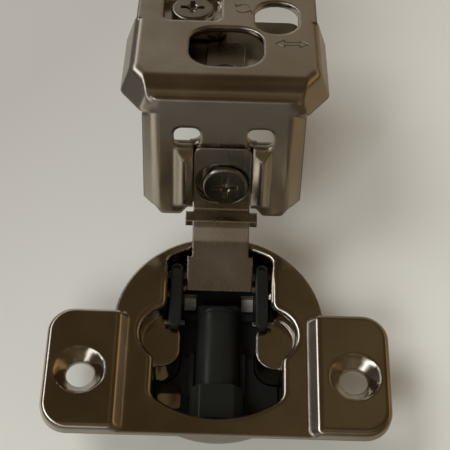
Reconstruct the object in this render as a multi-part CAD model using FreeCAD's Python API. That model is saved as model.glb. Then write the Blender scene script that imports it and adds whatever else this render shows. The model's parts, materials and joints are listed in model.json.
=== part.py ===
import FreeCAD, Part
import math
import os

# Soft close hinge for a face frame cabinet door, in millimetres, with the door fully open.
# Origin: axis of the 35 mm cup, in the plane of the door's inner face.
# +Z points out of the door, +Y to the door's edge and +X along that edge.
# The arm and the bracket are drawn in a swing frame with its origin on the pivot, where +Z runs up
# the bracket's panel and +Y from the viewer through the panel, and are then turned into place.

V = FreeCAD.Vector

# Sheet and fits
cup_sheet = 1.0
arm_sheet = 1.2
bracket_sheet = 1.2
plate_sheet = 1.5
running_fit = 0.05
slide_fit = 0.15
free_gap = 0.3
past = 1.0

# Cup boss and mouth, inside sizes, depths below the door face
boss_diameter = 35.0
cup_depth = 11.5
cup_corner = 5.0
waist_width = 17.8
bulge_width = 26.0
bulge_radius = 5.1
bulge_y = -1.1
heel_width = 21.2
heel_y = -5.0
mouth_rounding = 2.0
well_rounding = 0.6
rim_radius = 1.1
ledge_spacing = 13.0
ledge_corner = 3.2
ledge_low = -5.9
ledge_high = 3.0
ledge_depth = 2.5
drain_width = 2.1
drain_length = 3.2
drain_x = 5.13
drain_y = 10.9

# Flange and raised ears
flange_radius = 17.7
flange_foot = -19.7
ear_top = 2.2
ear_reach = 28.4
ear_corner = 4.5
ear_edge = 1.1
ear_rise = 1.6
step_foot = 14.9
step_run = 1.7
step_bends = (1.2, 1.4)
screw_spacing = 45.0
screw_row = -9.5
screw_hole = 4.6
screw_head = 8.6

# Swing
pivot_y = 12.9
pivot_depth = 4.2
open_angle = 105.0
pin_radius = 1.1
eye_radius = 2.0
pin_head = 0.4

# Damper and its carriage, heights above the cup's floor unless they say depth
tray_height = 1.7
tray_rear = -0.9
tray_floor = 0.6
tray_slot = 2.0
tray_window = (4.0, 4.4)
tray_window_at = (-8.1, -8.5)
tray_window_corner = 0.6
cradle_start = 0.6
cradle_width = 0.8
cradle_height = 1.5
damper_radius = 3.7
damper_axis = 3.85
damper_front = -9.6
damper_rear = 6.5
damper_cap = 1.2
cap_spigot = 1.6
cap_spigot_radius = 1.5
damper_travel = 3.0
rod_radius = 1.0
rod_length = 12.0
housing_front = -15.2
housing_rear = -9.1
housing_width = 9.0
housing_depth = 2.2
housing_bevel = 1.8
housing_flat = 5.6
housing_seat = 1.4
housing_corners = (1.0, 0.8)
yoke_length = 1.4
yoke_depth = 5.6
yoke_half = 3.8
yoke_arm = 1.3
yoke_corners = (0.5, 1.0)
pusher_inner = 6.3
pusher_width = 2.25
pusher_depth = 0.9
pusher_height = 1.4
pusher_front = 1.0
pusher_rear = 13.7
pusher_edge = 0.5
web_front = 7.0
web_rear = 10.8
dowel_radius = 0.6
dowel_y = 12.6
dowel_length = 1.0
dowel_sink = 0.4
cross_pin_radius = 0.5
cross_pin_y = 1.9
cross_pin_depth = 1.6
cross_pin_overhang = 0.55
spring_wire = 0.3
spring_pitch = 0.65
spring_turns = 2.25
spring_leg = 1.3

# Arm, in the swing frame
arm_width = 9.8
arm_top = 24.3
arm_corner = 1.5
shelf_height = 10.7
shelf_reach = 2.49
crease = (1.14, 7.34)
tail = (-3.88, 0.2)
shelf_width = 12.4
shelf_ear = 2.7
shelf_bend = 0.5
crease_bend = 3.0
arm_flange = 1.4
arm_flange_width = 11.4

# Bracket, in the swing frame, depths measured from the panel's outer face
panel_gap = 0.47
panel_half = 11.7
panel_foot = 9.7
flange_half = 13.8
flange_depth = 2.7
flange_low = 11.3
panel_corner = 2.4
foot_dip = (6.0, 7.2, 10.5, 11.7)
foot_bends = (0.6, 0.8)
bend_radius = 4.5
top_height = 36.4
top_half = 15.75
top_length = 36.0
top_edge = 1.8
tail_corner = 2.0
shoulder_depth = 6.0
shoulder_bends = (3.0, 2.6)
wing_flare = 1.85
wing_depth = 22.0
wing_drop = 5.2
rib_inner = 5.05
rib_width = 3.3
rib_rise = 1.4
rib_ridge = (1.3, 2.0)
rib_bend = 0.8
rib_low = 11.6
rib_high = 24.0
rib_slope = 1.3
rib_sheet = 1.0
window_low = 24.3
window_high = 28.4
window_corner = 1.4
tongue_half = 3.9
opening_half = 6.35
opening_near = 6.5
opening_far = 18.9
opening_corner = 4.5
oblong_x = 8.7
oblong_width = 7.6
oblong_near = 16.9
oblong_far = 27.7
pocket_width = 10.2
pocket_length = 9.8
pocket_depth = 2.1
pocket_corner = 1.5
notch_radius = 0.9

# Side adjusting cam
side_cam_height = 16.6
side_cam_throw = 0.5
side_travel = 0.4
side_cam_head = 3.95
side_cam_proud = 0.85
side_cam_shaft = 1.8
side_cam_fit = 0.15
side_cam_window_corner = 3.6

# Height adjusting cam and the plate that is screwed to the frame
height_cam_x = -6.1
height_cam_y = 25.5
height_cam_throw = 1.5
height_cam_head = 3.8
height_cam_thick = 1.7
height_cam_shaft = 2.0
height_cam_lobe = 2.3
height_cam_fit = 0.2
retainer_radius = 3.3
retainer_thick = 0.6
cam_edge = 0.5
plate_half = 13.0
plate_near = 4.0
plate_far = 26.6
plate_tail = 31.0
plate_corner = 2.0
land_half = 3.4
land_ends = (5.0, 19.0)
land_rise = 0.6
stile_screw_y = 9.6
stile_screw_hole = 4.5

# Cross recess in both cams
recess_arm = 2.1
recess_width = 0.9
recess_depth = 0.8
recess_cone = (0.3, 1.1)
recess_deepest = 1.1

# Sizes that follow from the ones above
boss_radius = boss_diameter / 2
bowl_radius = boss_radius - cup_sheet
floor_z = cup_sheet - cup_depth
ear_z = cup_sheet + ear_rise
bulge_x = bulge_width / 2 - bulge_radius
tray_z = floor_z + tray_height
damper_z = floor_z + damper_axis
pusher_outer = pusher_inner + pusher_width
wing_half = top_half + wing_flare
wing_low = top_height - wing_drop
panel_y = cup_sheet + panel_gap + pivot_depth
strip_y = arm_sheet + slide_fit
tongue_low = arm_top + side_travel + slide_fit
plate_z = wing_low
pocket_floor = top_height - pocket_depth

ABOUT_X = FreeCAD.Rotation(V(1, 1, 1), 120)
ABOUT_Y = FreeCAD.Rotation(V(1, 0, 0), 90)
ABOUT_PIN = FreeCAD.Rotation(V(-1, 1, -1), 120)
SWING = FreeCAD.Placement(V(0, pivot_y, -pivot_depth), FreeCAD.Rotation(V(1, 0, 0), 90 - open_angle))


def corner_arc(before, at, after, radius):
    """Arc that turns one corner, with the points where it meets the two sides."""
    into = (before - at).normalize()
    out = (after - at).normalize()
    half = into.getAngle(out) / 2
    reach = radius / math.tan(half)
    middle = at + (into + out).normalize() * (radius / math.sin(half) - radius)
    start = at + into * reach
    end = at + out * reach
    return start, Part.Arc(start, middle, end).toShape(), end


def flat(corners):
    """Closed flat face in the XY plane from corners (x, y) or (x, y, radius)."""
    points = [V(corner[0], corner[1], 0) for corner in corners]
    radii = [corner[2] if len(corner) > 2 else 0 for corner in corners]
    count = len(points)
    turns = []
    for index, point in enumerate(points):
        if radii[index] > 0:
            turns.append(corner_arc(points[index - 1], point, points[(index + 1) % count], radii[index]))
        else:
            turns.append((point, None, point))
    edges = []
    for index, (start, arc, end) in enumerate(turns):
        if arc:
            edges.append(arc)
        following = turns[(index + 1) % count][0]
        if end.distanceToPoint(following) > 1e-6:
            edges.append(Part.LineSegment(end, following).toShape())
    return Part.Face(Part.Wire(Part.__sortEdges__(edges)))


def box(low, high):
    """Block between two opposite corners."""
    size = V(*high) - V(*low)
    return Part.makeBox(size.x, size.y, size.z, V(*low))


def prism_z(face, low, high):
    """Plan outline (x, y) raised from one height to another."""
    return face.translated(V(0, 0, low)).extrude(V(0, 0, high - low))


def prism_x(corners, low, high):
    """Side outline (y, z) drawn out from one x to another."""
    solid = flat(corners).extrude(V(0, 0, high - low))
    solid.Placement = FreeCAD.Placement(V(low, 0, 0), ABOUT_X)
    return solid


def prism_y(corners, low, high):
    """Front outline (x, z) drawn out from one y to another."""
    solid = flat(corners).extrude(V(0, 0, high - low))
    solid.Placement = FreeCAD.Placement(V(0, high, 0), ABOUT_Y)
    return solid


def rod_x(y, z, radius, low, high):
    return Part.makeCylinder(radius, high - low, V(low, y, z), V(1, 0, 0))


def rod_y(x, z, radius, low, high):
    return Part.makeCylinder(radius, high - low, V(x, low, z), V(0, 1, 0))


def rod_z(x, y, radius, low, high):
    return Part.makeCylinder(radius, high - low, V(x, y, low), V(0, 0, 1))


def mirrored(shape):
    return shape.mirror(V(0, 0, 0), V(1, 0, 0))


def both_sides(shape):
    return [shape, mirrored(shape)]


def rectangle(low_x, low_y, high_x, high_y):
    return flat([(low_x, low_y), (high_x, low_y), (high_x, high_y), (low_x, high_y)])


def rounded_rectangle(low_x, low_y, high_x, high_y, corner):
    lower = [(low_x, low_y, corner), (high_x, low_y, corner)]
    return lower + [(high_x, high_y, corner), (low_x, high_y, corner)]


def slot_corners(x, low, high, half):
    """Corners of an outline with round ends, long in its second direction."""
    ends = half * 0.999
    return rounded_rectangle(x - half, low, x + half, high, ends)


def softened(face, radius):
    """Outline with every inward and outward corner turned by the same radius."""
    return face.makeOffset2D(radius).makeOffset2D(-2 * radius).makeOffset2D(radius)


def edges_where(shape, test):
    """Edges whose centre and bounds pass a test."""
    return [edge for edge in shape.Edges if test(edge.CenterOfMass, edge.BoundBox)]


def rounded_edges(shape, radius, test):
    return shape.makeFillet(radius, edges_where(shape, test))


def disc(radius, x, y):
    return Part.Face(Part.Wire(Part.makeCircle(radius, V(x, y, 0))))


def strip_outline(front, thickness, bends):
    """Side outline of a bent strip: its front line, set back by the sheet's thickness."""
    points = [V(y, z, 0) for y, z in front]
    normals = []
    for start, end in zip(points, points[1:]):
        along = (end - start).normalize()
        normals.append(V(-along.y, along.x, 0))
    back = [points[0] + normals[0] * thickness]
    for index in range(1, len(points) - 1):
        mitre = (normals[index - 1] + normals[index]).normalize()
        back.append(points[index] + mitre * (thickness / mitre.dot(normals[index])))
    back.append(points[-1] + normals[-1] * thickness)
    outline = [(point.x, point.y, bend[0]) for point, bend in zip(points, bends)]
    outline += [(point.x, point.y, bend[1]) for point, bend in zip(reversed(back), reversed(bends))]
    return outline


def cross_recess():
    """Four winged driver recess, pointing down from z = 0."""
    wing = box((-recess_arm, -recess_width / 2, -recess_depth), (recess_arm, recess_width / 2, recess_depth))
    cross = wing.fuse(wing.rotated(V(0, 0, 0), V(0, 0, 1), 90))
    tip, rim = recess_cone
    return cross.fuse(Part.makeCone(tip, rim, recess_deepest, V(0, 0, -recess_deepest)))


# Cup

def mouth_outline():
    """Inside outline of the cup's mouth: waist at the pivot, a bulge on each side, wide heel."""
    waist = rectangle(-waist_width / 2, -bowl_radius, waist_width / 2, bowl_radius)
    heel = rectangle(-heel_width / 2, -bowl_radius, heel_width / 2, heel_y)
    bulges = both_sides(disc(bulge_radius, bulge_x, bulge_y))
    whole = waist.fuse([heel] + bulges).common(disc(bowl_radius, 0, 0))
    return softened(whole.removeSplitter().Faces[0], mouth_rounding)


def well_outline():
    """Inside outline below the two ledges."""
    inner = ledge_spacing / 2
    ledge = flat([(inner, ledge_low, ledge_corner), (boss_radius, ledge_low), (boss_radius, ledge_high),
                  (inner, ledge_high, ledge_corner)])
    return softened(mouth_outline().cut(both_sides(ledge)).Faces[0], well_rounding)


def bowl(inset):
    """Round body of the boss, which trims the cup's form at its bottom corner."""
    solid = Part.makeCylinder(boss_radius - inset, cup_depth, V(0, 0, inset - cup_depth))
    return rounded_edges(solid, cup_corner - inset, lambda centre, _: centre.z < inset - cup_depth + 0.01)


def cup_form(inset, top):
    """Drawn form of the cup: its outside at inset 0, its inside at an inset of one sheet."""
    grow = cup_sheet - inset
    mouth = mouth_outline()
    well = well_outline()
    if grow > 0:
        mouth = mouth.makeOffset2D(grow)
        well = well.makeOffset2D(grow)
    upper = prism_z(mouth, -ledge_depth - grow, top)
    lower = prism_z(well, inset - cup_depth, -ledge_depth - grow)
    return upper.fuse(lower).common(bowl(inset)).fuse(prism_z(mouth, -ledge_depth, top))


def ear_form(inset):
    """Raised ear on the +X side with its sloped step and turned down skirts."""
    slope = math.atan2(ear_rise, step_run)
    shift = inset * math.tan(slope / 2)
    low = -past if inset else 0.0
    foot = step_foot + shift
    brow = foot + step_run
    top = ear_z - inset
    section = [(foot, low), (foot, cup_sheet - inset, step_bends[0]), (brow, top, step_bends[1]),
               (ear_reach - inset, top)]
    body = prism_y(section + [(ear_reach - inset, low)], flange_foot + inset, ear_top - inset)
    root = step_foot - past
    tips = [(root, flange_foot + inset), (ear_reach - inset, flange_foot + inset, ear_corner - inset),
            (ear_reach - inset, ear_top - inset, ear_corner - inset), (root, ear_top - inset)]
    body = body.common(prism_z(flat(tips), low, top))
    edge = max(ear_edge - inset, 0.1)
    flat_start = brow + step_bends[1]
    edges = edges_where(body, lambda centre, bounds: bounds.ZMin > top - 0.01 and centre.x > flat_start)
    return body.makeFillet(edge, edges)


def screw_dimple():
    """Countersunk seat pressed into an ear down to the door face."""
    sink = (screw_head - screw_hole) / 2
    x = screw_spacing / 2
    foot = screw_hole / 2 + cup_sheet
    seat = Part.makeCone(foot, screw_head / 2 + cup_sheet * 0.7, ear_rise, V(x, screw_row, 0))
    hole = rod_z(x, screw_row, screw_hole / 2, -past, ear_z)
    cone = Part.makeCone(screw_hole / 2, screw_head / 2, sink, V(x, screw_row, ear_z - sink))
    return seat, hole.fuse(cone)


def hinge_cup():
    """One pressing: flange, ears, countersinks and the drawn cup with its ledges."""
    band = rectangle(-step_foot - past, flange_foot, step_foot + past, ear_top)
    flange = prism_z(disc(flange_radius, 0, 0).fuse(band).removeSplitter(), 0, cup_sheet)
    seat, hole = screw_dimple()
    solid = flange.fuse(both_sides(ear_form(0)))
    solid = solid.cut(both_sides(ear_form(cup_sheet)))
    solid = solid.fuse(both_sides(seat)).cut(both_sides(hole))
    solid = solid.fuse(cup_form(0, 0)).cut(cup_form(cup_sheet, cup_sheet))
    solid = solid.removeSplitter()
    solid = rounded_edges(solid, rim_radius, on_rim)
    pin = rod_x(pivot_y, -pivot_depth, pin_radius, -boss_radius, boss_radius)
    return solid.cut(both_sides(drain_hole(0)) + [pin])


def drain_hole(grow):
    """Square drain on the +X side, or a larger hole around it."""
    half_x = drain_width / 2 + grow
    half_y = drain_length / 2 + grow
    return box((drain_x - half_x, drain_y - half_y, -cup_depth - past),
               (drain_x + half_x, drain_y + half_y, floor_z + past))


def on_rim(centre, bounds):
    level = bounds.ZMin > cup_sheet - 0.01 and bounds.ZMax < cup_sheet + 0.01
    inside = max(abs(bounds.XMin), abs(bounds.XMax)) < step_foot - past
    return level and inside and math.hypot(centre.x, centre.y) < bowl_radius + 0.1


def pivot_pin():
    half = waist_width / 2 + cup_sheet + pin_head
    pin = rod_x(pivot_y, -pivot_depth, pin_radius, -half, half)
    return pin.makeChamfer(pin_head * 0.7, edges_where(pin, lambda centre, _: abs(centre.x) > half - 0.01))


# Damper

def mechanism_tray():
    """Moulded tray on the cup's floor, with a trough for the damper and a window on the left."""
    plan = well_outline().makeOffset2D(-slide_fit)
    tray = prism_z(plan, floor_z, tray_z).common(bowl(cup_sheet + slide_fit).translated(V(0, 0, -slide_fit)))
    lowered = box((-boss_radius, tray_rear, floor_z + tray_floor), (boss_radius, boss_radius, tray_z + past))
    tray = tray.cut(lowered)
    rail = box((damper_radius + free_gap, damper_front + cradle_start, tray_z - slide_fit),
               (damper_radius + free_gap + cradle_width, tray_rear, tray_z + cradle_height))
    tray = tray.fuse(both_sides(rail))
    front = damper_front - damper_travel - free_gap
    trough = rod_y(0, damper_z, damper_radius + slide_fit, front, damper_rear + free_gap)
    x, y = tray_window_at
    half_x = tray_window[0] / 2
    half_y = tray_window[1] / 2
    window = rounded_rectangle(x - half_x, y - half_y, x + half_x, y + half_y, tray_window_corner)
    openings = [prism_z(flat(window), floor_z - past, tray_z + past), drain_hole(slide_fit)]
    openings.append(mirrored(openings[1]))
    openings.append(box((-tray_slot, front, floor_z - past), (tray_slot, damper_rear + free_gap, tray_z)))
    return tray.cut([trough] + openings).removeSplitter()


def damper_end_housing():
    """Flat topped housing that holds the piston rod and takes the damper as it slides in."""
    half = housing_width / 2
    shoulder = -housing_depth - housing_bevel
    top_half_width = housing_flat / 2
    side, brow = housing_corners
    section = [(-half, tray_z), (half, tray_z), (half, shoulder, side)]
    section += [(top_half_width, -housing_depth, brow), (-top_half_width, -housing_depth, brow)]
    section.append((-half, shoulder, side))
    body = prism_y(section, housing_front, housing_rear)
    body = body.common(bowl(cup_sheet + slide_fit))
    deepest = damper_front - damper_travel - free_gap
    bore = rod_y(0, damper_z, damper_radius + slide_fit, deepest, housing_rear + past)
    seat = rod_y(0, damper_z, rod_radius, housing_front + housing_seat, housing_rear)
    return body.cut([bore, seat])


def damper_piston_rod():
    start = housing_front + housing_seat
    return rod_y(0, damper_z, rod_radius, start, start + rod_length)


def damper_cylinder():
    """Damper body, bored for the rod and for the rear cap's spigot."""
    end = damper_rear - damper_cap
    body = rod_y(0, damper_z, damper_radius, damper_front, end)
    deep = housing_front + housing_seat + rod_length + damper_travel + free_gap
    bore = rod_y(0, damper_z, rod_radius + running_fit, damper_front, deep)
    return body.cut([bore, rod_y(0, damper_z, cap_spigot_radius, end - cap_spigot, end)])


def damper_rear_cap():
    end = damper_rear - damper_cap
    cap = rod_y(0, damper_z, damper_radius, end, damper_rear)
    cap = rounded_edges(cap, damper_cap * 0.6, lambda centre, _: centre.y > damper_rear - 0.01)
    return cap.fuse(rod_y(0, damper_z, cap_spigot_radius, end - cap_spigot, end)).removeSplitter()


def pusher_yoke():
    """Bar behind the damper that ties the two pushers together."""
    low = floor_z + tray_floor + free_gap
    step = low + yoke_arm
    inner, outer = yoke_corners
    section = [(-pusher_inner, low), (pusher_inner, low), (pusher_inner, step), (yoke_half, step, inner),
               (yoke_half, -yoke_depth, outer), (-yoke_half, -yoke_depth, outer), (-yoke_half, step, inner),
               (-pusher_inner, step)]
    return prism_y(section, damper_rear, damper_rear + yoke_length)


def pusher(side):
    """Push bar beside the arm, with a web down to the yoke and an eye at its rear end."""
    low = pusher_inner
    high = pusher_outer
    end = pusher_width * 0.45
    top = -pusher_depth
    plan = rounded_rectangle(low, pusher_front, high, pusher_rear, end)
    bar = prism_z(flat(plan), top - pusher_height, top)
    bar = rounded_edges(bar, pusher_edge, lambda _, bounds: bounds.ZMin > top - 0.01)
    web_foot = floor_z + tray_floor + free_gap
    web = box((low, web_front, web_foot), (high - slide_fit, web_rear, top - pusher_height))
    hole = rod_z((low + high) / 2, dowel_y, dowel_radius, top - pusher_height, top + past)
    cross = rod_x(cross_pin_y, -cross_pin_depth, cross_pin_radius, low - past, high + past)
    solid = bar.fuse(web).removeSplitter().cut([hole, cross])
    return solid if side > 0 else mirrored(solid)


def pusher_dowel(side):
    """Steel dowel in the pusher's eye, just below its top."""
    top = -pusher_depth - dowel_sink
    return rod_z(side * (pusher_inner + pusher_outer) / 2, dowel_y, dowel_radius, top - dowel_length, top)


def pusher_pin(side):
    """Steel pin across a pusher's front end, showing on both its sides."""
    low = pusher_inner - cross_pin_overhang
    high = pusher_outer + cross_pin_overhang
    pin = rod_x(cross_pin_y, -cross_pin_depth, cross_pin_radius, low, high)
    return pin if side > 0 else mirrored(pin)


def closing_spring(side):
    """Torsion spring on the pivot pin beside the arm, with a short leg against the cup's wall."""
    middle = pin_radius + running_fit * 2 + spring_wire
    start = arm_flange_width / 2 + slide_fit + spring_wire
    length = spring_pitch * spring_turns
    helix = Part.makeHelix(spring_pitch, length, middle)
    ring = Part.Wire(Part.makeCircle(spring_wire, V(middle, 0, 0), V(0, 1, 0)))
    coil = Part.Wire(helix).makePipeShell([ring], True, True)
    leg = Part.makeCylinder(spring_wire, spring_leg, V(0, middle, length), V(-1, 0, 0))
    solid = coil.fuse(leg)
    solid.Placement = FreeCAD.Placement(V(start, pivot_y, -pivot_depth), ABOUT_PIN)
    return solid if side > 0 else mirrored(solid)


# Arm

def arm_flange_plate():
    """Folded side of the arm's tail on the +X side, with the eye for the pin."""
    outer = arm_flange_width / 2
    inner = outer - arm_flange
    root = (tail[0] + 0.7 * (crease[0] - tail[0]), tail[1] + 0.7 * (crease[1] - tail[1]))
    side = [tail, root, (eye_radius * 0.95, eye_radius * 0.6), (eye_radius * 0.7, -eye_radius * 0.7),
            (-eye_radius * 0.7, -eye_radius * 0.7)]
    return prism_x(side, inner, outer).fuse(rod_x(0, 0, eye_radius, inner, outer)).removeSplitter()


def hinge_arm():
    """Bent strip: plate with the side cam's window, shelf with two ears, and the tail in the cup."""
    front = [(panel_y, arm_top), (panel_y, shelf_height), (shelf_reach, shelf_height), crease, tail]
    outside = shelf_bend + arm_sheet
    bends = [(0, 0), (shelf_bend, outside), (outside, shelf_bend), (crease_bend, crease_bend), (0, 0)]
    half = arm_width / 2
    strip = prism_x(strip_outline(front, arm_sheet, bends), -half, half)
    foot = tail[1] - 2 * past
    face = [(-half, foot), (half, foot), (half, arm_top, arm_corner), (-half, arm_top, arm_corner)]
    strip = strip.common(prism_y(face, tail[0] - past, panel_y + arm_sheet + past))
    ears = box((-shelf_width / 2, shelf_reach + free_gap, shelf_height - arm_sheet),
               (shelf_width / 2, shelf_reach + shelf_ear, shelf_height))
    flange = arm_flange_plate()
    solid = strip.fuse([ears, flange, mirrored(flange)]).removeSplitter()
    reach = side_cam_head + side_cam_throw + side_cam_fit
    rise = side_cam_head + side_cam_fit
    low = side_cam_height - rise
    window = rounded_rectangle(-reach, low, reach, low + 2 * rise, side_cam_window_corner)
    slot = prism_y(window, panel_y - past, panel_y + arm_sheet + past)
    pin = rod_x(0, 0, pin_radius + running_fit, -shelf_width / 2, shelf_width / 2)
    return solid.cut([slot, pin])


# Bracket, drawn with y = 0 on the panel's outer face

def panel_form(inset):
    """Panel with flared side flanges, solid behind its face."""
    flare = math.atan2(flange_depth, flange_half - panel_half)
    corner = panel_half - inset * math.tan(flare / 2)
    edge = flange_half - inset / math.sin(flare)
    back = flange_depth + (past if inset else 0.0)
    edge += (back - flange_depth) / math.tan(flare)
    plan = [(-edge, back), (-corner, inset, panel_corner - inset), (corner, inset, panel_corner - inset),
            (edge, back)]
    return prism_z(flat(plan), panel_foot - inset, top_height - bend_radius / 2)


def top_form(inset):
    """Top plate with its shoulders and flared wings, solid below its face."""
    back = wing_depth + (past if inset else 0.0)
    flare = wing_half - top_half
    low = wing_low - inset
    drop = top_height - wing_low
    wires = []
    for height, spread in ((top_height, 0.0), (low, flare * (top_height - low) / drop)):
        half = top_half - inset + spread
        lean = panel_half - inset / 2 + spread
        rear, front = shoulder_bends
        corners = [(-half, back), (-half, shoulder_depth + inset / 2, rear), (-lean, inset, front),
                   (lean, inset, front), (half, shoulder_depth + inset / 2, rear), (half, back)]
        wires.append(flat(corners).translated(V(0, 0, height)).OuterWire)
    body = Part.makeLoft(wires, True, True)
    body = rounded_edges(body, max(top_edge - inset, 0.1), on_top_edge)
    level = top_height - inset
    side = [(inset, low), (inset, level, bend_radius - inset), (back, level), (back, low)]
    return body.common(prism_x(side, -wing_half - 2, wing_half + 2))


def on_top_edge(centre, bounds):
    return bounds.ZMin > top_height - 0.01 and abs(centre.x) > panel_half - 1 and centre.y < wing_depth


def rib_form(inset):
    """Ridged rib on the +X side, beside the arm's channel, with both its ends sloped."""
    low_x = rib_inner + inset
    high_x = rib_inner + rib_width - inset
    face = -rib_rise + inset
    back = strip_y + bracket_sheet + (past if inset else 0.0)
    ridge = [(rib_inner + ridge_x, face, max(rib_bend - inset, 0.2)) for ridge_x in rib_ridge]
    plan = [(low_x, back), (low_x, face + rib_rise * 0.6)] + ridge
    plan += [(high_x, face + rib_rise * 1.1), (high_x, back)]
    low = rib_low + inset
    high = rib_high - inset
    side = [(back, low), (0, low), (face, low + rib_slope, rib_bend), (face, high - rib_slope, rib_bend)]
    side += [(0, high), (back, high)]
    return prism_z(flat(plan), low, high).common(prism_x(side, rib_inner, rib_inner + rib_width))


def foot_trim():
    """Space below the panel's wavy lower edge."""
    reach = flange_half + past
    upper, lower = foot_bends
    heights = (flange_low, panel_foot, panel_foot, flange_low)
    turns = list(zip(foot_dip, heights, (upper, lower, lower, upper)))
    right = turns + [(reach, flange_low), (reach, panel_foot - past)]
    left = [(-corner[0],) + corner[1:] for corner in reversed(right)]
    return prism_y(left + right, -rib_rise - past, flange_depth + past)


def channel_parts():
    """Recessed strip behind the arm, ribs beside it and the tongue above it."""
    back = strip_y + bracket_sheet
    half = rib_inner + bracket_sheet / 2
    strip = box((-half, strip_y, panel_foot), (half, back, tongue_low + bracket_sheet / 2))
    tongue = box((-tongue_half, 0, tongue_low), (tongue_half, back, tongue_low + bracket_sheet))
    ribs = both_sides(rib_form(0))
    hollows = both_sides(rib_form(rib_sheet))
    return [strip, tongue] + ribs, hollows


def panel_cuts():
    """Channel for the arm, the two windows above the ribs and the foot's wave."""
    front = -rib_rise - past
    channel = box((-rib_inner, front, panel_foot - past), (rib_inner, strip_y, tongue_low))
    window = rounded_rectangle(tongue_half, window_low, rib_inner + rib_width, window_high, window_corner)
    return [channel] + both_sides(prism_y(window, front, flange_depth + past)) + [foot_trim()]


def pocket_tub():
    """Pressed pocket that carries the height cam: its outside and its inside."""
    half_x = pocket_width / 2
    half_y = pocket_length / 2
    forms = []
    outside = (bracket_sheet - slide_fit, pocket_floor - bracket_sheet, top_height - bracket_sheet / 2)
    for grow, low, high in (outside, (0, pocket_floor, top_height + past)):
        x = half_x + grow
        y = half_y + grow
        outline = rounded_rectangle(height_cam_x - x, height_cam_y - y, height_cam_x + x, height_cam_y + y,
                                    pocket_corner + grow)
        forms.append(prism_z(flat(outline), low, high))
    return forms


def top_openings():
    """Rounded central opening and the oblong hole on the right."""
    central = rounded_rectangle(-opening_half, opening_near, opening_half, opening_far, opening_corner)
    oblong = slot_corners(oblong_x, oblong_near, oblong_far, oblong_width / 2)
    low = top_height - bracket_sheet - past
    return [prism_z(flat(outline), low, top_height + past) for outline in (central, oblong)]


def face_bracket():
    """One pressing: panel, top plate, shoulders, wings, ribs and the cam pocket."""
    shell = panel_form(0).fuse(top_form(0)).cut([panel_form(bracket_sheet), top_form(bracket_sheet)])
    root = wing_depth - past
    tail_plate = [(-top_half, root), (top_half, root), (top_half, top_length, tail_corner),
                  (-top_half, top_length, tail_corner)]
    plate = prism_z(flat(tail_plate), top_height - bracket_sheet, top_height)
    tub, pocket = pocket_tub()
    added, hollows = channel_parts()
    solid = shell.fuse([plate, tub]).cut([pocket] + top_openings())
    solid = solid.cut(panel_cuts()[0]).fuse(added).cut(hollows + panel_cuts()[1:])
    notch = rod_x(flange_depth, wing_low - notch_radius, notch_radius, panel_half, wing_half)
    side_shaft = rod_y(0, side_cam_height, side_cam_shaft + running_fit, 0, flange_depth + past)
    height_shaft = rod_z(height_cam_x, height_cam_y, height_cam_shaft + running_fit, wing_low, top_height)
    return solid.cut(both_sides(notch) + [side_shaft, height_shaft]).removeSplitter()


# Adjusters

def side_cam_screw():
    """Cross recessed screw: an eccentric head in the arm's window and a shaft in the strip behind it."""
    x = side_cam_throw
    face = -side_cam_proud
    head = rod_y(x, side_cam_height, side_cam_head, face, strip_y - running_fit)
    head = rounded_edges(head, cam_edge, lambda centre, _: centre.y < face + 0.01)
    shaft = rod_y(0, side_cam_height, side_cam_shaft, strip_y - running_fit, strip_y + bracket_sheet)
    recess = cross_recess()
    recess.Placement = FreeCAD.Placement(V(x, face, side_cam_height), ABOUT_Y)
    return head.fuse(shaft).cut(recess).removeSplitter()


def height_cam_screw():
    """Cross recessed disc in the pocket, with an eccentric lobe below it in the fixing plate."""
    low = pocket_floor + running_fit
    disc_top = low + height_cam_thick
    head = rod_z(height_cam_x, height_cam_y, height_cam_head, low, disc_top)
    head = rounded_edges(head, cam_edge, lambda centre, _: centre.z > disc_top - 0.01)
    under = pocket_floor - bracket_sheet - running_fit
    shaft = rod_z(height_cam_x, height_cam_y, height_cam_shaft, under, low)
    y = height_cam_y + height_cam_throw
    lobe = rod_z(height_cam_x, y, height_cam_lobe, plate_z + retainer_thick, under)
    stub = rod_z(height_cam_x, y, height_cam_lobe / 2, plate_z, under)
    recess = cross_recess().translated(V(height_cam_x, height_cam_y, disc_top))
    return head.fuse([shaft, lobe, stub]).cut(recess).removeSplitter()


def height_cam_retainer():
    """Washer riveted on the cam's end, sunk in the fixing plate's underside."""
    y = height_cam_y + height_cam_throw
    ring = rod_z(height_cam_x, y, retainer_radius, plate_z, plate_z + retainer_thick)
    return ring.cut(rod_z(height_cam_x, y, height_cam_lobe / 2, plate_z - past, plate_z + past))


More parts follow.
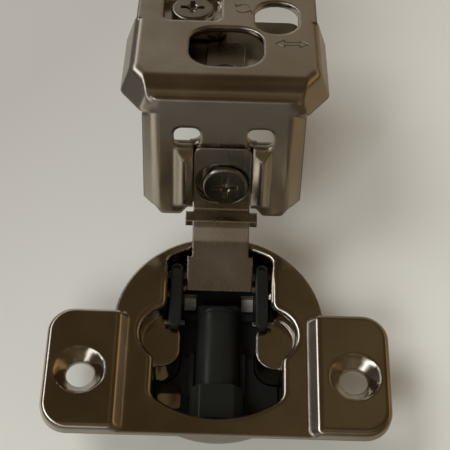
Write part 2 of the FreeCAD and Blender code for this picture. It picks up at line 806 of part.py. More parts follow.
def fixing_plate():
    """Plate under the top plate, with a raised land and the hole for the frame's screw."""
    corner = plate_corner
    outline = [(-plate_half, plate_near, corner), (plate_half, plate_near, corner)]
    outline += [(plate_half, plate_far, corner), (0, plate_far, corner)]
    outline += [(0, plate_tail, corner), (-plate_half, plate_tail, corner)]
    plate = prism_z(flat(outline), plate_z, plate_z + plate_sheet)
    near, far = land_ends
    top = plate_z + plate_sheet + land_rise
    land = rounded_rectangle(-land_half, near, land_half, far, corner)
    land = prism_z(flat(land), plate_z + land_rise, top)
    land = rounded_edges(land, land_rise / 2, lambda _, bounds: bounds.ZMin > top - 0.01)
    inner = land_half - plate_sheet / 2
    inside = rounded_rectangle(-inner, near + past, inner, far - past, corner)
    hollow = prism_z(flat(inside), plate_z - past, plate_z + land_rise)
    wide = height_cam_lobe + height_cam_fit
    centre = height_cam_y + height_cam_throw
    start = centre - wide - height_cam_throw
    slot = prism_z(flat(slot_corners(height_cam_x, start, centre + wide, wide)), plate_z - past, top)
    sunk = retainer_radius + height_cam_fit
    washer = slot_corners(height_cam_x, centre - sunk - height_cam_throw, centre + sunk, sunk)
    recess = prism_z(flat(washer), plate_z - past, plate_z + retainer_thick + running_fit)
    hole = rod_z(0, stile_screw_y, stile_screw_hole / 2, plate_z - past, top + past)
    return plate.fuse(land).cut([hollow, slot, recess, hole]).removeSplitter()


def in_bracket(shape):
    """From the bracket's own drawing into the part's frame."""
    return in_swing(shape.translated(V(0, panel_y, 0)))


def in_swing(shape):
    """From the swing frame into the part's frame."""
    placed = shape.copy()
    placed.Placement = SWING.multiply(shape.Placement)
    return placed


def all_nodes():
    nodes = {
        "hinge_cup": hinge_cup(),
        "pivot_pin": pivot_pin(),
        "mechanism_tray": mechanism_tray(),
        "damper_end_housing": damper_end_housing(),
        "damper_piston_rod": damper_piston_rod(),
        "damper_cylinder": damper_cylinder(),
        "damper_rear_cap": damper_rear_cap(),
        "pusher_yoke": pusher_yoke(),
        "hinge_arm": in_swing(hinge_arm()),
        "face_bracket": in_bracket(face_bracket()),
        "side_cam_screw": in_bracket(side_cam_screw()),
        "height_cam_screw": in_bracket(height_cam_screw()),
        "height_cam_retainer": in_bracket(height_cam_retainer()),
        "fixing_plate": in_bracket(fixing_plate()),
    }
    for name, side in (("left", -1), ("right", 1)):
        nodes[name + "_pusher"] = pusher(side)
        nodes[name + "_pusher_dowel"] = pusher_dowel(side)
        nodes[name + "_pusher_pin"] = pusher_pin(side)
        nodes[name + "_closing_spring"] = closing_spring(side)
    return nodes


os.makedirs("parts", exist_ok=True)
for name, shape in all_nodes().items():
    state = "valid" if shape.isValid() else "FAULTY"
    print(name, len(shape.Solids), "solid,", round(shape.Volume, 2), "mm3,", state)
    shape.exportStep(os.path.join("parts", name + ".step"))
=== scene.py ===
"""Looks for a soft close cabinet hinge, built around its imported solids, in metres."""
import json
import logging
import math
from dataclasses import dataclass
from enum import Enum

import bmesh
import bpy
import numpy as np
from mathutils import Matrix, Vector

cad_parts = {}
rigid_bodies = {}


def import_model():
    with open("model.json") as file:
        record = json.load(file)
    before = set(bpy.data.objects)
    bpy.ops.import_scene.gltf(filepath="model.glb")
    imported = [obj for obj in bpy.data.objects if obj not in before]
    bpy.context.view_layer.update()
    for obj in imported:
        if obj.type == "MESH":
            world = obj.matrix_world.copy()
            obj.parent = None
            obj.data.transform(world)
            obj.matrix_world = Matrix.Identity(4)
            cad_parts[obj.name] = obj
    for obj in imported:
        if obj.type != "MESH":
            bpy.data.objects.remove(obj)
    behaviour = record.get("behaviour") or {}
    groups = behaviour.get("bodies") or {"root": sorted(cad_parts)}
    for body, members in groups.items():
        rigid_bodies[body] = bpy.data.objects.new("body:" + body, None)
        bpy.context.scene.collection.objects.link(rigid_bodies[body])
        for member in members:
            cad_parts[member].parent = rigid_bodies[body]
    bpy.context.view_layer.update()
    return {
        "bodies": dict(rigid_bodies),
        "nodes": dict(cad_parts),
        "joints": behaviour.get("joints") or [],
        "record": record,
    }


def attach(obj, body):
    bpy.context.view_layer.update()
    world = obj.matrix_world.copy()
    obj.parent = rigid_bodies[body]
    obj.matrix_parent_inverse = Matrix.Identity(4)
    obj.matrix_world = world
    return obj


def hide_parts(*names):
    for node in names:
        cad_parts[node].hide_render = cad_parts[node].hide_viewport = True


LOG = logging.getLogger("hinge")
MM = 0.001
JOIN_REACH = 2e-6
FLAT_DEG = 0.4
SHADE_WEIGHT = 90
BEVEL_STEPS = 2
DRAWN_STRETCH = 0.04
STREAK_SHARE = 0.5
BLACK = (0.0, 0.0, 0.0)
Colour = tuple[float, float, float]
Point = tuple[float, float, float]


class Turn(Enum):
    """How far two faces have to turn before the edge between them counts as one to round."""

    PRESSED = 34.0
    MOULDED = 30.0
    TURNED = 40.0


# Shader building

class Tree:
    """A shader tree with short ways to add and join its nodes."""

    def __init__(self, tree: bpy.types.NodeTree) -> None:
        """Empties the tree.

        Args:
            tree: node tree of a material, a world or a group.
        """
        tree.nodes.clear()
        self.tree = tree

    def add(self, kind: str, **settings: object) -> bpy.types.Node:
        """Adds a node and sets its plain properties.

        Args:
            kind: the node's type name after "ShaderNode", or its whole name for a group's ends.
            settings: property names and values.

        Returns:
            The new node.
        """
        node = self.tree.nodes.new(kind if kind.startswith("Node") else "ShaderNode" + kind)
        for name, value in settings.items():
            setattr(node, name, value)
        return node

    def join(self, out: bpy.types.NodeSocket, into: bpy.types.NodeSocket) -> None:
        """Links an output to an input."""
        self.tree.links.new(out, into)

    def math(self, operation: str, first: object, second: object = 0.0) -> bpy.types.NodeSocket:
        """Adds a math node.

        Args:
            operation: Blender's name of the operation.
            first: socket or number.
            second: socket or number.

        Returns:
            The node's output.
        """
        node = self.add("Math", operation=operation)
        for socket, value in zip(node.inputs, (first, second)):
            if isinstance(value, bpy.types.NodeSocket):
                self.join(value, socket)
            else:
                socket.default_value = value
        return node.outputs[0]

    def vector(self, operation: str, first: object, second: object) -> bpy.types.NodeSocket:
        """Adds a vector math node.

        Args:
            operation: Blender's name of the operation.
            first: socket or three numbers.
            second: socket or three numbers.

        Returns:
            The node's number for a dot product or a distance, and its vector otherwise.
        """
        node = self.add("VectorMath", operation=operation)
        for socket, value in zip(node.inputs, (first, second)):
            if isinstance(value, bpy.types.NodeSocket):
                self.join(value, socket)
            else:
                socket.default_value = value
        return node.outputs["Value" if operation in ("DOT_PRODUCT", "DISTANCE") else "Vector"]

    def spread(self, value: bpy.types.NodeSocket, low_high: tuple[float, float],
               onto: tuple[float, float]) -> bpy.types.NodeSocket:
        """Maps a range of values onto another.

        Args:
            value: the value's output.
            low_high: the range it comes from.
            onto: the range it goes to.

        Returns:
            The mapped value's output.
        """
        node = self.add("MapRange")
        for socket, number in zip(node.inputs[1:5], (*low_high, *onto)):
            socket.default_value = number
        self.join(value, node.inputs[0])
        return node.outputs[0]

    def mix(self, factor: object, first: object, second: object) -> bpy.types.NodeSocket:
        """Mixes two colours.

        Args:
            factor: socket or number, 0 for the first colour and 1 for the second.
            first: socket or colour.
            second: socket or colour.

        Returns:
            The mixed colour's output.
        """
        node = self.add("Mix", data_type="RGBA")
        sockets = (node.inputs["Factor"], node.inputs[6], node.inputs[7])
        for socket, value in zip(sockets, (factor, first, second)):
            if isinstance(value, bpy.types.NodeSocket):
                self.join(value, socket)
            elif isinstance(value, tuple):
                socket.default_value = (*value, 1.0)
            else:
                socket.default_value = value
        return node.outputs[2]


def new_group(name: str, given: dict[str, float], results: dict[str, str]) -> tuple[bpy.types.NodeTree, Tree]:
    """Starts a node group with its sockets.

    Args:
        name: the group's name.
        given: number inputs with their first values.
        results: outputs with their socket types after "NodeSocket".

    Returns:
        The group, and its tree to fill.
    """
    group = bpy.data.node_groups.new(name, "ShaderNodeTree")
    for title, value in given.items():
        group.interface.new_socket(title, in_out="INPUT", socket_type="NodeSocketFloat").default_value = value
    for title, kind in results.items():
        group.interface.new_socket(title, in_out="OUTPUT", socket_type="NodeSocket" + kind)
    return group, Tree(group)


def grain_group() -> bpy.types.NodeTree:
    """Builds the shared grain on object coordinates: blotches, fine grain and the streaks of drawn sheet.

    A streak is fine grain drawn out across X, and the height is the fine grain plus a share of the streaks.

    Returns:
        The node group, with Blotch Scale and Fine Scale in, and Blotch, Streak and Height out.
    """
    group, tree = new_group("surface_grain", {"Blotch Scale": 120.0, "Fine Scale": 1500.0},
                            {"Blotch": "Float", "Streak": "Float", "Height": "Float"})
    given = tree.add("NodeGroupInput")
    result = tree.add("NodeGroupOutput")
    place = tree.add("TexCoord").outputs["Object"]
    drawn = tree.vector("MULTIPLY", place, (1.0, DRAWN_STRETCH, DRAWN_STRETCH))
    noises = {}
    for title, vector, scale, detail in (("blotch", place, "Blotch Scale", 3.0), ("fine", place, "Fine Scale", 2.0),
                                         ("streak", drawn, "Fine Scale", 2.0)):
        noise = tree.add("TexNoise")
        noise.inputs["Detail"].default_value = detail
        tree.join(vector, noise.inputs["Vector"])
        tree.join(given.outputs[scale], noise.inputs["Scale"])
        noises[title] = noise.outputs["Fac"]
    height = tree.math("ADD", noises["fine"], tree.math("MULTIPLY", noises["streak"], STREAK_SHARE))
    tree.join(noises["blotch"], result.inputs["Blotch"])
    tree.join(noises["streak"], result.inputs["Streak"])
    tree.join(height, result.inputs["Height"])
    return group


@dataclass(frozen=True)
class StampedMarks:
    """Plain arrows stamped in the bracket's top plate, drawn in the bracket's own plane in millimetres."""

    pivot_mm: Point = (0.0, 12.9, -4.2)
    panel_mm: float = 5.67
    lean_deg: float = 15.0
    top_mm: float = 36.4
    skin_mm: float = 0.15
    line_mm: float = 0.16
    solid_share: float = 0.3
    arrow: tuple[tuple[float, float], ...] = ((8.5, 13.9), (9.9, 15.0), (9.9, 14.35), (12.6, 14.35), (12.6, 15.0),
                                              (14.1, 13.9), (12.6, 12.8), (12.6, 13.45), (9.9, 13.45), (9.9, 12.8))
    turn_mm: tuple[float, float, float] = (2.9, 24.9, 1.4)
    turn_arcs_deg: tuple[tuple[float, float], ...] = ((25.0, 155.0), (205.0, 335.0))
    arc_steps: int = 4
    barb_mm: tuple[float, float] = (0.8, 0.6)

    def strokes(self) -> np.ndarray:
        """Lists the strokes as rows of start x, start y, end x, end y."""
        outline = np.array(self.arrow)
        rows = [np.hstack((outline, np.roll(outline, -1, axis=0)))]
        x, y, radius = self.turn_mm
        back, aside = self.barb_mm
        for start, end in self.turn_arcs_deg:
            angles = np.radians(np.linspace(start, end, self.arc_steps + 1))
            points = np.column_stack((x + radius * np.cos(angles), y + radius * np.sin(angles)))
            rows.append(np.hstack((points[:-1], points[1:])))
            tip = points[-1]
            along = np.array((-np.sin(angles[-1]), np.cos(angles[-1])))
            out = np.array((np.cos(angles[-1]), np.sin(angles[-1])))
            for side in (-1.0, 1.0):
                rows.append(np.hstack((tip, tip - back * along + side * aside * out))[None])
        return np.vstack(rows)

    def group(self) -> bpy.types.NodeTree:
        """Builds the marks' group: a point's distance to a stroke is |p - a - t (b - a)|, with t held in 0 to 1.

        Returns:
            The node group, with Mask out, 1 on a stroke of the top plate's upper face.
        """
        group, tree = new_group("stamped_marks", {}, {"Mask": "Float"})
        result = tree.add("NodeGroupOutput")
        place = tree.add("TexCoord").outputs["Object"]
        lean = math.radians(self.lean_deg)
        across = (0.0, math.cos(lean), -math.sin(lean))
        above = (0.0, math.sin(lean), math.cos(lean))
        shifted = tree.vector("SUBTRACT", place, tuple(part * MM for part in self.pivot_mm))
        depth = tree.math("SUBTRACT", tree.vector("DOT_PRODUCT", shifted, across), self.panel_mm * MM)
        height = tree.vector("DOT_PRODUCT", shifted, above)
        point = tree.add("CombineXYZ")
        tree.join(tree.vector("DOT_PRODUCT", shifted, (1.0, 0.0, 0.0)), point.inputs[0])
        tree.join(depth, point.inputs[1])
        nearest = None
        for row in self.strokes() * MM:
            start = Vector((row[0], row[1], 0.0))
            along = Vector((row[2] - row[0], row[3] - row[1], 0.0))
            offset = tree.vector("SUBTRACT", point.outputs[0], tuple(start))
            share = tree.math("DIVIDE", tree.vector("DOT_PRODUCT", offset, tuple(along)), along.length_squared)
            held = tree.math("MINIMUM", tree.math("MAXIMUM", share, 0.0), 1.0)
            reached = tree.add("VectorMath", operation="SCALE")
            reached.inputs[0].default_value = along
            tree.join(held, reached.inputs["Scale"])
            distance = tree.vector("DISTANCE", offset, reached.outputs[0])
            nearest = distance if nearest is None else tree.math("MINIMUM", nearest, distance)
        line = tree.add("MapRange", interpolation_type="SMOOTHSTEP")
        edge = self.line_mm * MM
        for socket, value in zip(line.inputs[1:5], (edge, edge * self.solid_share, 0.0, 1.0)):
            socket.default_value = value
        tree.join(nearest, line.inputs[0])
        on_top = tree.math("GREATER_THAN", height, (self.top_mm - self.skin_mm) * MM)
        tree.join(tree.math("MULTIPLY", line.outputs[0], on_top), result.inputs["Mask"])
        return group


@dataclass(frozen=True)
class Finish:
    """A finish that every surface of one kind shares, with its grain."""

    name: str
    colour: Colour
    deep_colour: Colour
    metallic: float
    roughness: tuple[float, float]
    blotch_scale: float
    fine_scale: float
    depth: float
    specular: float = 0.5
    soft_mm: float = 0.0
    soft_samples: int = 8
    marked: bool = False
    # colour and share of the painted shade in the stamped grooves
    groove_shade_colour: Colour = (0.05, 0.04, 0.03)
    groove_shade_cover: float = 0.75
    mark_depth_mm: float = 0.12
    blotch_range: tuple[float, float] = (0.35, 0.65)
    streak_range: tuple[float, float] = (0.3, 0.7)
    streak_gloss: tuple[float, float] = (0.85, 1.0)

    def material(self, grain: bpy.types.NodeTree, marks: bpy.types.NodeTree) -> bpy.types.Material:
        """Builds the material.

        Args:
            grain: the shared grain group.
            marks: the stamped marks' group.

        Returns:
            A Principled material whose colour and roughness vary with the grain, with edges that look
            rounded as far as soft_mm, and stamped lines darkened with painted shade in their grooves if it is
            marked.
        """
        made = bpy.data.materials.new(self.name)
        made.use_nodes = True
        tree = Tree(made.node_tree)
        shader = tree.add("BsdfPrincipled")
        shader.inputs["Metallic"].default_value = self.metallic
        shader.inputs["Specular IOR Level"].default_value = self.specular
        noise = tree.add("Group")
        noise.node_tree = grain
        noise.inputs["Blotch Scale"].default_value = self.blotch_scale
        noise.inputs["Fine Scale"].default_value = self.fine_scale
        blotch = tree.spread(noise.outputs["Blotch"], self.blotch_range, (0.0, 1.0))
        streak = tree.spread(noise.outputs["Streak"], self.streak_range, self.streak_gloss)
        colour = tree.mix(blotch, self.deep_colour, self.colour)
        rough = tree.math("MULTIPLY", tree.spread(blotch, (0.0, 1.0), self.roughness), streak)
        bump = tree.add("Bump")
        bump.inputs["Strength"].default_value = 1.0
        bump.inputs["Distance"].default_value = self.depth
        tree.join(noise.outputs["Height"], bump.inputs["Height"])
        if self.soft_mm:
            soft = tree.add("Bevel", samples=self.soft_samples)
            soft.inputs["Radius"].default_value = self.soft_mm * MM
            tree.join(soft.outputs["Normal"], bump.inputs["Normal"])
        normal = bump.outputs["Normal"]
        if self.marked:
            stamp = tree.add("Group")
            stamp.node_tree = marks
            mask = stamp.outputs["Mask"]
            # painted shade: the stamped grooves are darkened towards groove_shade_colour
            colour = tree.mix(tree.math("MULTIPLY", mask, self.groove_shade_cover), colour, self.groove_shade_colour)
            pressed = tree.add("Bump", invert=True)
            pressed.inputs["Strength"].default_value = 1.0
            pressed.inputs["Distance"].default_value = self.mark_depth_mm * MM
            tree.join(mask, pressed.inputs["Height"])
            tree.join(normal, pressed.inputs["Normal"])
            normal = pressed.outputs["Normal"]
        tree.join(colour, shader.inputs["Base Color"])
        tree.join(rough, shader.inputs["Roughness"])
        tree.join(normal, shader.inputs["Normal"])
        out = tree.add("OutputMaterial")
        tree.join(shader.outputs["BSDF"], out.inputs["Surface"])
        return made


NICKEL = Finish("bright_nickel_plate", (0.65, 0.60, 0.51), (0.53, 0.485, 0.40), 1.0, (0.09, 0.16), 130.0, 1600.0,
                0.000006, soft_mm=0.7)
MARKED_NICKEL = Finish("marked_nickel_plate", (0.62, 0.57, 0.485), (0.51, 0.465, 0.385), 1.0, (0.18, 0.28), 90.0,
                       1600.0, 0.000006, soft_mm=0.8, marked=True)
# The fixing plate's nickel is painted dark, painted shade for its place deep under the bracket's top plate, and made
# rougher.
SHADED_PLATE_NICKEL = Finish("dull_painted_shade_nickel_plate", (0.30, 0.265, 0.215), (0.2, 0.175, 0.14), 1.0, (0.28, 0.4), 120.0, 1600.0,
                      0.000006)
ARM_NICKEL = Finish("arm_nickel_plate", (0.60, 0.56, 0.48), (0.46, 0.42, 0.35), 1.0, (0.26, 0.38), 120.0, 1600.0,
                    0.000006, soft_mm=0.4)
SCREW_STEEL = Finish("screw_steel", (0.42, 0.39, 0.33), (0.34, 0.31, 0.26), 1.0, (0.2, 0.3), 200.0, 2500.0,
                     0.000004)
PIN_STEEL = Finish("pin_steel", (0.3, 0.29, 0.27), (0.22, 0.21, 0.2), 1.0, (0.3, 0.4), 300.0, 2500.0, 0.000004)
BLACK_PLASTIC = Finish("satin_black_plastic", (0.0125, 0.013, 0.0115), (0.0105, 0.011, 0.0095), 0.0, (0.32, 0.44),
                       150.0, 2200.0, 0.00001, specular=0.24)


# Surfaces

@dataclass(frozen=True)
class Rounding:
    """How a piece's edges are rounded: a common width, and a broader one for edges in a range of heights."""

    width_mm: float
    broad_mm: float = 0.0
    broad_heights_mm: tuple[float, float] = (0.0, 0.0)

    def weight(self, edge: bmesh.types.BMEdge) -> float:
        """Tells an edge's share of the widest rounding."""
        low, high = self.broad_heights_mm
        middle = (edge.verts[0].co.z + edge.verts[1].co.z) / 2 / MM
        return 1.0 if low < middle < high or not self.broad_mm else self.width_mm / self.broad_mm


def merged_copy(name: str, source: bpy.types.Object, turn: Turn, rounding: Rounding) -> bpy.types.Object:
    """Copies a solid's loose triangles, joins them and marks the edges to round.

    An edge is marked where the angle between its two faces' normals is more than the turn.

    Args:
        name: the new piece's name.
        source: the solid's object.
        turn: least angle of an edge to round.
        rounding: the widths.

    Returns:
        The joined piece, shaded smooth.
    """
    mesh = source.data.copy()
    mesh.name = name
    mesh.materials.clear()
    work = bmesh.new()
    work.from_mesh(mesh)
    bmesh.ops.remove_doubles(work, verts=work.verts, dist=JOIN_REACH)
    bmesh.ops.dissolve_limit(work, angle_limit=math.radians(FLAT_DEG), verts=work.verts, edges=work.edges)
    limit = math.radians(turn.value)
    layer = work.edges.layers.float.new("bevel_weight_edge")
    for edge in work.edges:
        if len(edge.link_faces) == 2 and edge.calc_face_angle(0.0) > limit:
            edge[layer] = rounding.weight(edge)
    for face in work.faces:
        face.smooth = True
    work.to_mesh(mesh)
    work.free()
    piece = bpy.data.objects.new(name, mesh)
    bpy.context.scene.collection.objects.link(piece)
    return piece


def rounded(piece: bpy.types.Object, rounding: Rounding) -> None:
    """Rounds a piece's marked edges with a bevel of few steps, and evens its shading by face area.

    Args:
        piece: the piece.
        rounding: the widths.
    """
    bevel = piece.modifiers.new("edge_rounding", "BEVEL")
    bevel.limit_method = "WEIGHT"
    bevel.offset_type = "OFFSET"
    bevel.width = max(rounding.width_mm, rounding.broad_mm) * MM
    bevel.segments = BEVEL_STEPS
    bevel.use_clamp_overlap = True
    bevel.harden_normals = True
    bevel.miter_outer = "MITER_ARC"
    evened = piece.modifiers.new("evened_normals", "WEIGHTED_NORMAL")
    evened.mode = "FACE_AREA"
    evened.weight = SHADE_WEIGHT
    evened.keep_sharp = True


@dataclass
class Dressing:
    """What every sub-assembly needs to dress its solids."""

    frame: dict
    materials: dict[str, bpy.types.Material]

    def dress(self, node: str, body: str, finish: Finish, slot: str, turn: Turn,
              rounding: Rounding) -> bpy.types.Object:
        """Replaces a solid by its joined copy, with rounded edges and its finish.

        Args:
            node: the solid's name.
            body: name of the body it rides on.
            finish: its finish.
            slot: the record's material slot, not used.
            turn: least angle of an edge to round.
            rounding: how far the rounding reaches along each face.

        Returns:
            The dressed piece.
        """
        piece = merged_copy(node + "_dressed", self.frame["nodes"][node], turn, rounding)
        rounded(piece, rounding)
        piece.data.materials.append(self.materials[finish.name])
        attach(piece, body)
        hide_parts(node)
        LOG.info("%s: %d faces", piece.name, len(piece.data.polygons))
        return piece


# Sub-assemblies

@dataclass
class Cup:
    """The cup pressing with its pin and the fixed plastic in it."""

    dressing: Dressing
    pressing: Rounding = Rounding(0.2, 0.5, (-2.8, -2.2))
    pin_edge: Rounding = Rounding(0.08)
    wire_edge: Rounding = Rounding(0.05)
    plastic_edge: Rounding = Rounding(0.15)

    def build(self) -> None:
        """Dresses the cup's solids."""
        dress = self.dressing.dress
        dress("hinge_cup", "cup", NICKEL, "nickel_plated_steel", Turn.PRESSED, self.pressing)
        dress("pivot_pin", "cup", PIN_STEEL, "screw_steel", Turn.TURNED, self.pin_edge)
        for side in ("left", "right"):
            dress(side + "_closing_spring", "cup", PIN_STEEL, "screw_steel", Turn.TURNED, self.wire_edge)
        for node in ("mechanism_tray", "damper_end_housing"):
            dress(node, "cup", BLACK_PLASTIC, "black_plastic", Turn.MOULDED, self.plastic_edge)
        dress("damper_piston_rod", "cup", PIN_STEEL, "screw_steel", Turn.TURNED, self.pin_edge)


@dataclass
class Damper:
    """The sliding damper with its yoke and push bars."""

    dressing: Dressing
    edge: Rounding = Rounding(0.18)
    pin_edge: Rounding = Rounding(0.08)

    def build(self) -> None:
        """Dresses the damper's solids."""
        dress = self.dressing.dress
        for node in ("damper_cylinder", "damper_rear_cap", "pusher_yoke", "left_pusher", "right_pusher"):
            dress(node, "damper_slider", BLACK_PLASTIC, "black_plastic", Turn.MOULDED, self.edge)
        for side in ("left", "right"):
            for node in ("_pusher_dowel", "_pusher_pin"):
                dress(side + node, "damper_slider", PIN_STEEL, "screw_steel", Turn.TURNED, self.pin_edge)


@dataclass
class Arm:
    """The bent arm and the eccentric screw in its window."""

    dressing: Dressing
    edge: Rounding = Rounding(0.18)
    screw_edge: Rounding = Rounding(0.12)

    def build(self) -> None:
        """Dresses the arm and its screw."""
        self.dressing.dress("hinge_arm", "arm", ARM_NICKEL, "nickel_plated_steel", Turn.PRESSED, self.edge)
        self.dressing.dress("side_cam_screw", "side_cam", SCREW_STEEL, "screw_steel", Turn.TURNED, self.screw_edge)


@dataclass
class Bracket:
    """The face bracket, the plate under it and the cam between them."""

    dressing: Dressing
    edge: Rounding = Rounding(0.22)
    screw_edge: Rounding = Rounding(0.12)

    def build(self) -> None:
        """Dresses the bracket, the fixing plate and the height cam."""
        dress = self.dressing.dress
        dress("face_bracket", "bracket", MARKED_NICKEL, "nickel_plated_steel", Turn.PRESSED, self.edge)
        # the fixing plate takes the nickel with painted shade
        dress("fixing_plate", "frame_plate", SHADED_PLATE_NICKEL, "nickel_plated_steel", Turn.PRESSED, self.edge)
        dress("height_cam_screw", "height_cam", SCREW_STEEL, "screw_steel", Turn.TURNED, self.screw_edge)
        dress("height_cam_retainer", "height_cam", SCREW_STEEL, "screw_steel", Turn.TURNED, self.screw_edge)


# Studio

@dataclass(frozen=True)
class Viewpoint:
    """The camera, as the photograph was taken."""

    place_mm: Point = (-0.526, -101.425, 182.609)
    right: Point = (0.999579, 0.020482, 0.020535)
    up: Point = (-0.028451, 0.829946, 0.557118)
    forward: Point = (0.005632, 0.557467, -0.830180)
    lens_mm: float = 98.686
    sensor_mm: float = 36.0
    nearest_mm: float = 10.0

    def build(self) -> None:
        """Adds the camera and makes it the scene's own."""
        data = bpy.data.cameras.new("photo_view")
        data.lens = self.lens_mm
        data.sensor_width = self.sensor_mm
        data.clip_start = self.nearest_mm * MM
        camera = bpy.data.objects.new("photo_view", data)
        back = tuple(-part for part in self.forward)
        turn = Matrix((self.right, self.up, back)).transposed()
        camera.matrix_world = Matrix.Translation(Vector(self.place_mm) * MM) @ turn.to_4x4()
        bpy.context.scene.collection.objects.link(camera)
        bpy.context.scene.camera = camera


@dataclass(frozen=True)
class Glow:
    """A soft oval patch of light in the room, e to the power of -(across / width)^2 - (above / height)^2."""

    towards: Point
    colour: Colour
    width: float
    height: float


@dataclass(frozen=True)
class Studio:
    """Pale table, a dim warm room, and a long window on the left.

    Metal mirrors the table as a painted reflection with colours and shares of its own. The share falls to
    front_share over front_mm, a painted shadow in front, and to left_share over left_mm where it is behind
    behind_mm, a painted darker reflection on the left, and the colour warms over warm_mm, a painted warm reflection
    on the right.
    """

    table_z_mm: float = -11.55
    table_half_mm: float = 900.0
    # painted light: the table top's own colour runs from darker at the back left to lighter at the front right
    table_shade_light_colours: tuple[Colour, Colour] = ((0.49, 0.475, 0.44), (0.70, 0.69, 0.64))
    table_shade_span: tuple[float, float] = (-1.2, 0.1)
    table_shade_slope_mm: tuple[float, float] = (75.0, -95.0)
    backdrop: Colour = (0.62, 0.60, 0.55)
    room: Colour = (0.055, 0.036, 0.019)
    fill: Colour = (0.33, 0.285, 0.225)
    glows: tuple[Glow, ...] = (
        Glow((-0.82, -0.02, 0.57), (4.1, 4.15, 4.3), 0.75, 0.09),
        Glow((-0.9, 0.3, 0.1), (0.005, 0.015, 0.03), 0.6, 0.3),
        Glow((0.0, 0.96, 0.26), (0.165, 0.153, 0.13), 0.7, 0.22),
        Glow((0.88, 0.4, 0.35), (0.42, 0.25, 0.10), 0.5, 0.12),
        Glow((0.0, -0.94, 0.34), (0.20, 0.17, 0.13), 0.6, 0.14),
        Glow((0.1, -0.44, 0.90), (0.11, 0.09, 0.06), 0.5, 0.12),
        Glow((0.0, -0.72, 0.69), (0.06, 0.055, 0.045), 0.5, 0.12),
        Glow((0.15, 0.44, 0.88), (0.048, 0.04, 0.02), 0.1, 0.22),
    )
    lamps: tuple[tuple[Point, float], ...] = (((-560.0, 60.0, 860.0), 4.6), ((-300.0, -760.0, 760.0), 6.0))
    lamp_colour: Colour = (0.93, 0.965, 1.0)
    lamp_size_mm: tuple[float, float] = (520.0, 420.0)
    # painted reflection colours of the table, plain on the left and warm dark brown on the right
    painted_reflection_colours: tuple[Colour, Colour] = ((0.60, 0.575, 0.52), (0.36, 0.28, 0.18))
    warm_mm: tuple[float, float] = (12.0, 45.0)
    mirrored_share: float = 0.72
    front_share: float = 0.2
    front_mm: tuple[float, float] = (-40.0, -18.0)
    left_reflection_tint: Colour = (0.93, 0.86, 0.78)
    left_share: float = 0.12
    behind_mm: tuple[float, float] = (8.0, 26.0)
    left_mm: tuple[float, float] = (-62.0, -22.0)
    table_roughness: float = 0.6
    table_specular: float = 0.25

    def build(self) -> None:
        """Adds the table, the lamps and the room's light."""
        self.table()
        for place_mm, power in self.lamps:
            self.lamp(place_mm, power)
        self.world()

    def table(self) -> None:
        """Adds the flat table top, which metal mirrors dimmer in front and on the left, and warmer on the right."""
        half = self.table_half_mm * MM
        corners = np.array([(-1, -1), (1, -1), (1, 1), (-1, 1)]) * half
        points = np.column_stack((corners, np.full(4, self.table_z_mm * MM)))
        mesh = bpy.data.meshes.new("table_top")
        mesh.from_pydata(points.tolist(), [], [(0, 1, 2, 3)])
        top = bpy.data.objects.new("table_top", mesh)
        bpy.context.scene.collection.objects.link(top)
        made = bpy.data.materials.new("pale_table")
        made.use_nodes = True
        tree = Tree(made.node_tree)
        shader = tree.add("BsdfPrincipled")
        place = tree.add("SeparateXYZ")
        tree.join(tree.add("TexCoord").outputs["Object"], place.inputs[0])
        # painted light gradient across the table top
        across, along = (tree.math("DIVIDE", place.outputs[axis], reach * MM)
                         for axis, reach in zip("XY", self.table_shade_slope_mm))
        table_light_share = tree.spread(tree.math("ADD", across, along), self.table_shade_span, (0.0, 1.0))
        # painted reflection: for glossy rays the table is painted dimmer in front and at the back left, and warmer
        # and darker on the right
        fronted = self.over(tree, place, "Y", self.front_mm, (self.front_share, self.mirrored_share))
        leftward = self.over(tree, place, "X", self.left_mm, (1.0, 0.0))
        behind = self.over(tree, place, "Y", self.behind_mm, (0.0, 1.0))
        kept = tree.spread(tree.math("MULTIPLY", leftward, behind), (0.0, 1.0), (1.0, self.left_share))
        share = tree.math("MULTIPLY", fronted, kept)
        mirrored = tree.add("LightPath").outputs["Is Glossy Ray"]
        warmed = self.over(tree, place, "X", self.warm_mm, (0.0, 1.0))
        tinted = tree.mix(leftward, tree.mix(warmed, *self.painted_reflection_colours), self.left_reflection_tint)
        reflected_table_paint = tree.mix(share, BLACK, tinted)
        colour = tree.mix(mirrored, tree.mix(table_light_share, *self.table_shade_light_colours), reflected_table_paint)
        tree.join(colour, shader.inputs["Base Color"])
        shader.inputs["Roughness"].default_value = self.table_roughness
        shader.inputs["Specular IOR Level"].default_value = self.table_specular
        out = tree.add("OutputMaterial")
        tree.join(shader.outputs["BSDF"], out.inputs["Surface"])
        mesh.materials.append(made)

    def over(self, tree: Tree, place: bpy.types.Node, axis: str, run_mm: tuple[float, float],
             onto: tuple[float, float]) -> bpy.types.NodeSocket:
        """Maps a run of the table along an axis onto a range.

        Args:
            tree: the table's tree.
            place: the node with the place's parts.
            axis: "X" or "Y".
            run_mm: start and end of the run.
            onto: the values there.

        Returns:
            The mapped value's output.
        """
        start, end = run_mm
        return tree.spread(place.outputs[axis], (start * MM, end * MM), onto)

    def lamp(self, place_mm: Point, power: float) -> None:
        """Adds a soft lamp for dull surfaces, which metal doesn't mirror.

        Args:
            place_mm: its middle, from where it shines at the origin.
            power: its power in watts.
        """
        data = bpy.data.lights.new("soft_lamp", "AREA")
        data.shape = "RECTANGLE"
        data.size, data.size_y = (side * MM for side in self.lamp_size_mm)
        data.energy = power
        data.color = self.lamp_colour
        lamp = bpy.data.objects.new("soft_lamp", data)
        place = Vector(place_mm) * MM
        back = place.normalized()
        side = Vector((0, 0, 1)).cross(back).normalized()
        turn = Matrix((side, back.cross(side), back)).transposed()
        lamp.matrix_world = Matrix.Translation(place) @ turn.to_4x4()
        lamp.visible_glossy = False
        bpy.context.scene.collection.objects.link(lamp)

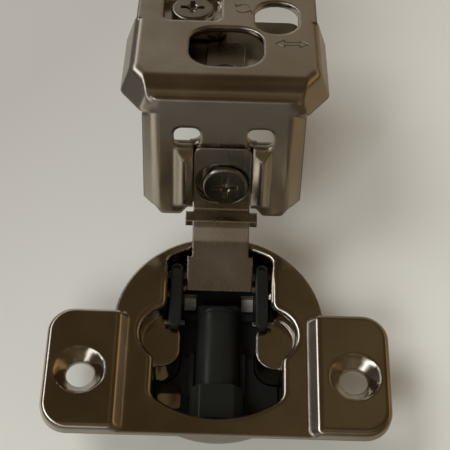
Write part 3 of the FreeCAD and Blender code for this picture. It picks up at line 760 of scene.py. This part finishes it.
    def glow_amount(self, tree: Tree, place: bpy.types.NodeSocket, glow: Glow) -> bpy.types.NodeSocket:
        """Builds one patch's strength, which is nothing on the other side of the room.

        Args:
            tree: the world's tree.
            place: output with the direction looked at.
            glow: the patch.

        Returns:
            The strength's output, 1 in the patch's middle.
        """
        middle = Vector(glow.towards).normalized()
        across = Vector((0, 0, 1)).cross(middle).normalized()
        above = middle.cross(across)
        squares = []
        for axis, reach in ((across, glow.width), (above, glow.height)):
            part = tree.math("DIVIDE", tree.vector("DOT_PRODUCT", place, tuple(axis)), reach)
            squares.append(tree.math("MULTIPLY", part, part))
        facing = tree.vector("DOT_PRODUCT", place, tuple(middle))
        fall = tree.math("EXPONENT", tree.math("MULTIPLY", tree.math("ADD", squares[0], squares[1]), -1.0))
        return tree.math("MULTIPLY", fall, tree.math("GREATER_THAN", facing, 0.0))

    def world(self) -> None:
        """Builds the room: a plain colour plus soft patches, and an even fill on dull surfaces."""
        world = bpy.data.worlds.new("room")
        bpy.context.scene.world = world
        world.use_nodes = True
        tree = Tree(world.node_tree)
        place = tree.add("TexCoord").outputs["Generated"]
        base = tree.add("CombineXYZ")
        for socket, value in zip(base.inputs, self.room):
            socket.default_value = value
        light = base.outputs[0]
        for glow in self.glows:
            scaled = tree.add("VectorMath", operation="SCALE")
            scaled.inputs[0].default_value = glow.colour
            tree.join(self.glow_amount(tree, place, glow), scaled.inputs["Scale"])
            light = tree.vector("ADD", light, scaled.outputs[0])
        path = tree.add("LightPath")
        lit = tree.mix(path.outputs["Is Diffuse Ray"], light, self.fill)
        shown = tree.mix(path.outputs["Is Camera Ray"], lit, self.backdrop)
        background = tree.add("Background")
        tree.join(shown, background.inputs["Color"])
        out = tree.add("OutputWorld")
        tree.join(background.outputs[0], out.inputs["Surface"])


def main() -> None:
    """Builds the studio and every piece, in order."""
    logging.basicConfig(level=logging.INFO, format="%(message)s")
    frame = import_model()
    scene = bpy.context.scene
    scene.view_settings.view_transform = "Standard"
    Viewpoint().build()
    Studio().build()
    grain = grain_group()
    marks = StampedMarks().group()
    finishes = (NICKEL, MARKED_NICKEL, SHADED_PLATE_NICKEL, ARM_NICKEL, SCREW_STEEL, PIN_STEEL, BLACK_PLASTIC)
    dressing = Dressing(frame, {finish.name: finish.material(grain, marks) for finish in finishes})
    for assembly in (Cup, Damper, Arm, Bracket):
        assembly(dressing).build()


if __name__ == "__main__":
    main()
